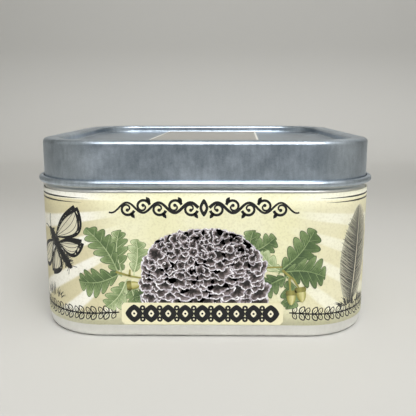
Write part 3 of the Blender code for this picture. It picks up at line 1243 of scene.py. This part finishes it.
def moth_wing(pad, root, tip, breadth, side, layer):
    """A clear wing with a dark edge and veins that spread from its root."""
    root, tip = np.array(root, float), np.array(tip, float)
    ahead = tip - root
    across = np.array([-ahead[1], ahead[0]]) / np.linalg.norm(ahead)
    t = np.linspace(0, 1, 25)
    spine = root + t[:, None] * ahead
    lead = spine + (0.25 * breadth * np.sin(math.pi * t))[:, None] * across * side
    trail = spine - (breadth * np.sin(math.pi * t ** 1.3) ** 0.8)[:, None] * across * side
    pad.ribbon([lead, trail], [0.82, 0.92], layer)
    pad.stroke(lead, np.linspace(0.5, 1.7, len(t)), 0.0, layer + 1)
    pad.stroke(trail, np.linspace(0.3, 1.5, len(t)), 0.0, layer + 1)
    for share in (0.25, 0.5, 0.75):
        vein = lead + share * (trail - lead)
        pad.stroke(vein[2:-3], 0.14, 0.15, layer + 1)


def draw_moth():
    pad = Pad()
    layer = LEAF_LAYER
    for side in (-1, 1):
        moth_wing(pad, (side * 0.8, 1.0), (side * 11.6, 2.6), 4.4, side, layer)
        moth_wing(pad, (side * 0.8, -0.8), (side * 7.0, -5.0), 3.2, side, layer + 2)
        feeler = [(side * 0.4, 4.2), (side * 1.4, 6.0), (side * 2.6, 7.0)]
        pad.stroke(feeler, 0.28, 0.0, layer + 4)
    y = np.linspace(4.6, -8.2, 30)
    plump = 2.5 + 0.6 * np.cos((y - 1.5) * 0.8) - 0.08 * np.abs(y)
    swell = np.sin(np.linspace(0, math.pi, len(y))) ** 0.6
    ends = np.linspace(0.55, 0.45, len(y))
    body = np.column_stack([0.12 * np.sin(y * 3), y])
    pad.stroke(body, plump * (ends + (1.0 - ends) * swell), 0.02, layer + 4)
    draw = np.random.default_rng(4)
    for _ in range(MOTH_HAIRS):
        place = draw.uniform(-8.0, 4.0)
        side = draw.choice([-1, 1])
        hair = [(side * 0.6, place), (side * draw.uniform(1.3, 1.9), place - draw.uniform(0.2, 1.2))]
        pad.stroke(hair, 0.16, draw.uniform(0.0, 0.35), layer + 5)
    pad.points = [
        (*turned(MOTH_SIZE * x, MOTH_SIZE * y, MOTH, MOTH_TURN), lift) for x, y, lift in pad.points
    ]
    return pad.mesh("moth")


lay("moth", draw_moth(), BLACK_INK)

# %% Draw the feather
FEATHER = (46.5, 10.5)         # mm: its foot
FEATHER_LENGTH = 29.5
FEATHER_TURN = -3.0            # degrees
BARB_PITCH = 0.30


def bow(share):
    """How far the spine bows to the right, at a share of the feather's length."""
    return np.sin(share * 2.2) * 1.2


def barb():
    """A hair-thin curved stroke one millimetre long."""
    pad = Pad()
    t = np.linspace(0, 1, 6)
    pad.stroke(np.column_stack([t, 0.16 * t * t]), np.linspace(0.03, 0.014, 6), 0.12, 0)
    return pad.mesh("barb")


def vane(share):
    """Half the feather's breadth at a share of its length."""
    return 7.4 * math.sin(math.pi * (0.10 + 0.90 * share) ** 0.85) ** 0.7


def draw_feather():
    ground = Pad()
    shares = np.linspace(0.0, 1.0, 40)
    spine = np.column_stack([bow(shares), shares * FEATHER_LENGTH])
    breadth = np.array([vane(share) for share in shares])
    for side, tone in ((-1, 0.62), (1, 0.80)):
        edge = spine + np.column_stack([side * breadth * 0.96, breadth * 0.35])
        ground.ribbon([spine, edge], [tone - 0.2, tone + 0.12], LEAF_LAYER)
    ground.stroke(spine, np.linspace(0.65, 0.2, len(spine)), 0.9, LEAF_LAYER + 2)
    ground.stroke(spine + (0.3, 0.0), np.linspace(0.25, 0.1, len(spine)), 0.0, LEAF_LAYER + 3)
    draw = np.random.default_rng(12)
    marks = []
    for share in np.arange(0.02, 0.97, BARB_PITCH / FEATHER_LENGTH):
        x, y = bow(share), share * FEATHER_LENGTH
        for side in (-1, 1):
            length = vane(share) * 1.08 * draw.uniform(0.80, 1.06)
            lean = 20 + draw.uniform(-5, 5)
            turn = lean if side > 0 else 180 - lean
            tall = length if side > 0 else -length
            marks.append((x, y, LEAF_LAYER + 1, turn, length, tall))
    barbs = stamp("barb", barb(), marks, BLACK_INK)
    feather = joined("feather", [ground.mesh("vane"), barbs])
    foot = (FEATHER[0] * MM, FEATHER[1] * MM)
    for vertex in feather.vertices:
        x, y, lift = vertex.co
        vertex.co = (*turned(x, y, foot, FEATHER_TURN), lift)
    return feather


lay("feather", draw_feather(), BLACK_INK)

# %% Draw tufts of grass at both corners
TUFTS = ((-49.0, 11.6, 34, 5.0), (47.5, 9.6, 90, 6.5))      # mm: middle, foot, blades, spread


def draw_grass():
    pad = Pad()
    draw = np.random.default_rng(9)
    for middle, foot, blades, spread in TUFTS:
        for _ in range(blades):
            x = middle + draw.uniform(-spread, spread)
            tall = draw.uniform(1.6, 4.4) * (1.2 - abs(x - middle) / spread)
            lean = (x - middle) * 0.25 + draw.uniform(-1.0, 1.0)
            t = np.linspace(0, 1, 6)
            blade = np.column_stack([x + lean * t * t, foot + draw.uniform(-0.8, 0.4) + tall * t])
            pad.stroke(blade, np.linspace(0.34, 0.06, 6), draw.uniform(0.0, 0.3), LEAF_LAYER + 5)
    return pad.mesh("grass")


lay("grass", draw_grass(), BLACK_INK)

# %% [markdown]
# ## The lid's label
#
# The small label on the lid is plain satin paper. Its edges catch the light, and that light is painted as
# a pale band, so the material measures how far each point is from the edge, in the label's own turned
# axes.

# %% Finish the lid's label
LID_LABEL_TURN = math.radians(2.8)       # it is stuck on askew, and this turns its pattern back
LID_LABEL_HALF = (19.0 * MM, 40.0 * MM)
EDGE_HIGHLIGHT_BAND = 0.7 * MM                     # width of the pale edge


def lid_paper():
    finish = Finish("lid_label_paper", {"Specular IOR Level": 0.5})
    turned_back = {"Vector": finish.place(), "Rotation": (0.0, 0.0, LID_LABEL_TURN)}
    place = finish.add("ShaderNodeMapping", (), turned_back)
    across = finish.add("ShaderNodeSeparateXYZ", (), {"Vector": place}, output="X").abs()
    along = finish.add("ShaderNodeSeparateXYZ", (), {"Vector": place}, output="Y").abs()
    inside = (LID_LABEL_HALF[0] - across).math("MINIMUM", LID_LABEL_HALF[1] - along)
    # painted highlight: a pale band along the label's edges, where they catch the light
    edge = 1.0 - inside.above(EDGE_HIGHLIGHT_BAND, 0.2 * MM)
    grain = finish.noise(1200.0, detail=3.0)
    face = finish.mix(grain, shade("#94918b"), shade("#a5a29b"))
    finish.drive("Base Color", finish.mix(edge, face, shade("#e6e4dc")))
    finish.drive("Roughness", 0.3 + grain * 0.12)
    finish.bump(grain, 0.01 * MM, 0.3)
    return finish.material


lid_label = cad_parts["lid_label"]
lid_label.data.materials.clear()
lid_label.data.materials.append(lid_paper())
print("lid label finished")

# %% [markdown]
# ## Stage, light and camera
#
# A pale table runs back into a softly curved wall. A softbox hangs overhead, a stronger one fills from
# the front, and a long narrow one hangs close to the wall and washes it. Metal shows what it faces, so
# the room in front is kept dim and blue, and the sides of it pale.

# %% Build the table and wall
TABLE_DEPTH = 0.42             # from the tin to where the table starts to curve up
COVE_RADIUS = 0.14
WALL_HEIGHT = 2.0
STAGE_HALF = 9.0               # so wide that views from the side see its ends only far off


def stage_finish():
    finish = Finish("table_paint", {"Specular IOR Level": 0.2})
    drift = finish.noise(2.0, detail=2.0)
    finish.drive("Base Color", finish.mix(drift, shade("#c3c2be"), shade("#cac9c6")))
    finish.drive("Roughness", 0.6 + drift * 0.1)
    return finish.material


def build_stage():
    turns = [math.radians(-90 + 90 * i / 16) for i in range(17)]
    centre = (TABLE_DEPTH, COVE_RADIUS)
    line = [(-STAGE_HALF, 0.0)]
    line += [(centre[0] + COVE_RADIUS * math.cos(t), centre[1] + COVE_RADIUS * math.sin(t)) for t in turns]
    line.append((TABLE_DEPTH + COVE_RADIUS, WALL_HEIGHT))
    points = [(x, y, z) for y, z in line for x in (-STAGE_HALF, STAGE_HALF)]
    faces = [(2 * i, 2 * i + 1, 2 * i + 3, 2 * i + 2) for i in range(len(line) - 1)]
    mesh = bpy.data.meshes.new("table_and_wall")
    mesh.from_pydata(points, [], faces)
    mesh.materials.append(stage_finish())
    mesh.shade_smooth()
    stage = bpy.data.objects.new("table_and_wall", mesh)
    bpy.context.scene.collection.objects.link(stage)


build_stage()

# %% Hang the lights
def softbox(name, place, aim, size, power, spread):
    """A rectangular light that faces its aim. Its spread, in degrees, is how widely it shines."""
    light = bpy.data.lights.new(name, "AREA")
    light.shape = "RECTANGLE"
    light.size, light.size_y = size
    light.energy = power
    light.spread = math.radians(spread)
    lamp = bpy.data.objects.new(name, light)
    lamp.location = place
    lamp.rotation_euler = (Vector(aim) - Vector(place)).to_track_quat("-Z", "Y").to_euler()
    bpy.context.scene.collection.objects.link(lamp)


softbox("key_softbox", (0.06, -0.20, 0.62), aim=(0.0, -0.04, 0.0), size=(0.5, 0.36), power=0.22, spread=60)
softbox("front_fill", (0.12, -0.62, 0.66), aim=(0.0, 0.0, 0.02), size=(0.6, 0.3), power=0.84, spread=60)
softbox("wall_wash", (0.18, 0.22, 0.85), aim=(0.18, 0.56, 0.5), size=(1.3, 0.12), power=2.1, spread=90)
print("three softboxes")

# %% Dim the room
ROOM_STRENGTH = 0.68

world = bpy.data.worlds.new("dim_room")
bpy.context.scene.world = world
world.use_nodes = True
room = Tree(world.node_tree)
look = room.add("ShaderNodeTexCoord", output="Generated")
back = room.add("ShaderNodeSeparateXYZ", (), {"Vector": look}, output="Y")
front = (0.0 - back).above(0.85, 0.25)
backdrop = world.node_tree.nodes["Background"]
room.plug(backdrop.inputs["Color"], room.mix(front, shade("#dcdad2"), shade("#8391a2")))
room.plug(backdrop.inputs["Strength"], ROOM_STRENGTH)
print("the room is dim and blue in front")

# %% Set up the camera
SENSOR = 36.0                  # mm wide
FOCAL = 48.6                   # mm
EYE = Vector((0.0006, -0.2105, 0.0701))
PITCH = math.radians(10.74)
ROUND = 0.0114                 # radians that the camera is carried round the tin

camera_data = bpy.data.cameras.new("camera")
camera_data.lens = FOCAL
camera_data.sensor_width = SENSOR
camera_data.clip_start = 0.01
camera = bpy.data.objects.new("camera", camera_data)
bpy.context.scene.collection.objects.link(camera)
camera.location = Matrix.Rotation(ROUND, 3, "Z") @ EYE
camera.rotation_euler = (math.pi / 2 - PITCH, 0.0, ROUND)
bpy.context.scene.camera = camera
bpy.context.scene.view_settings.view_transform = "Standard"
print("camera", [round(c, 4) for c in camera.location], "lens", FOCAL, "mm")
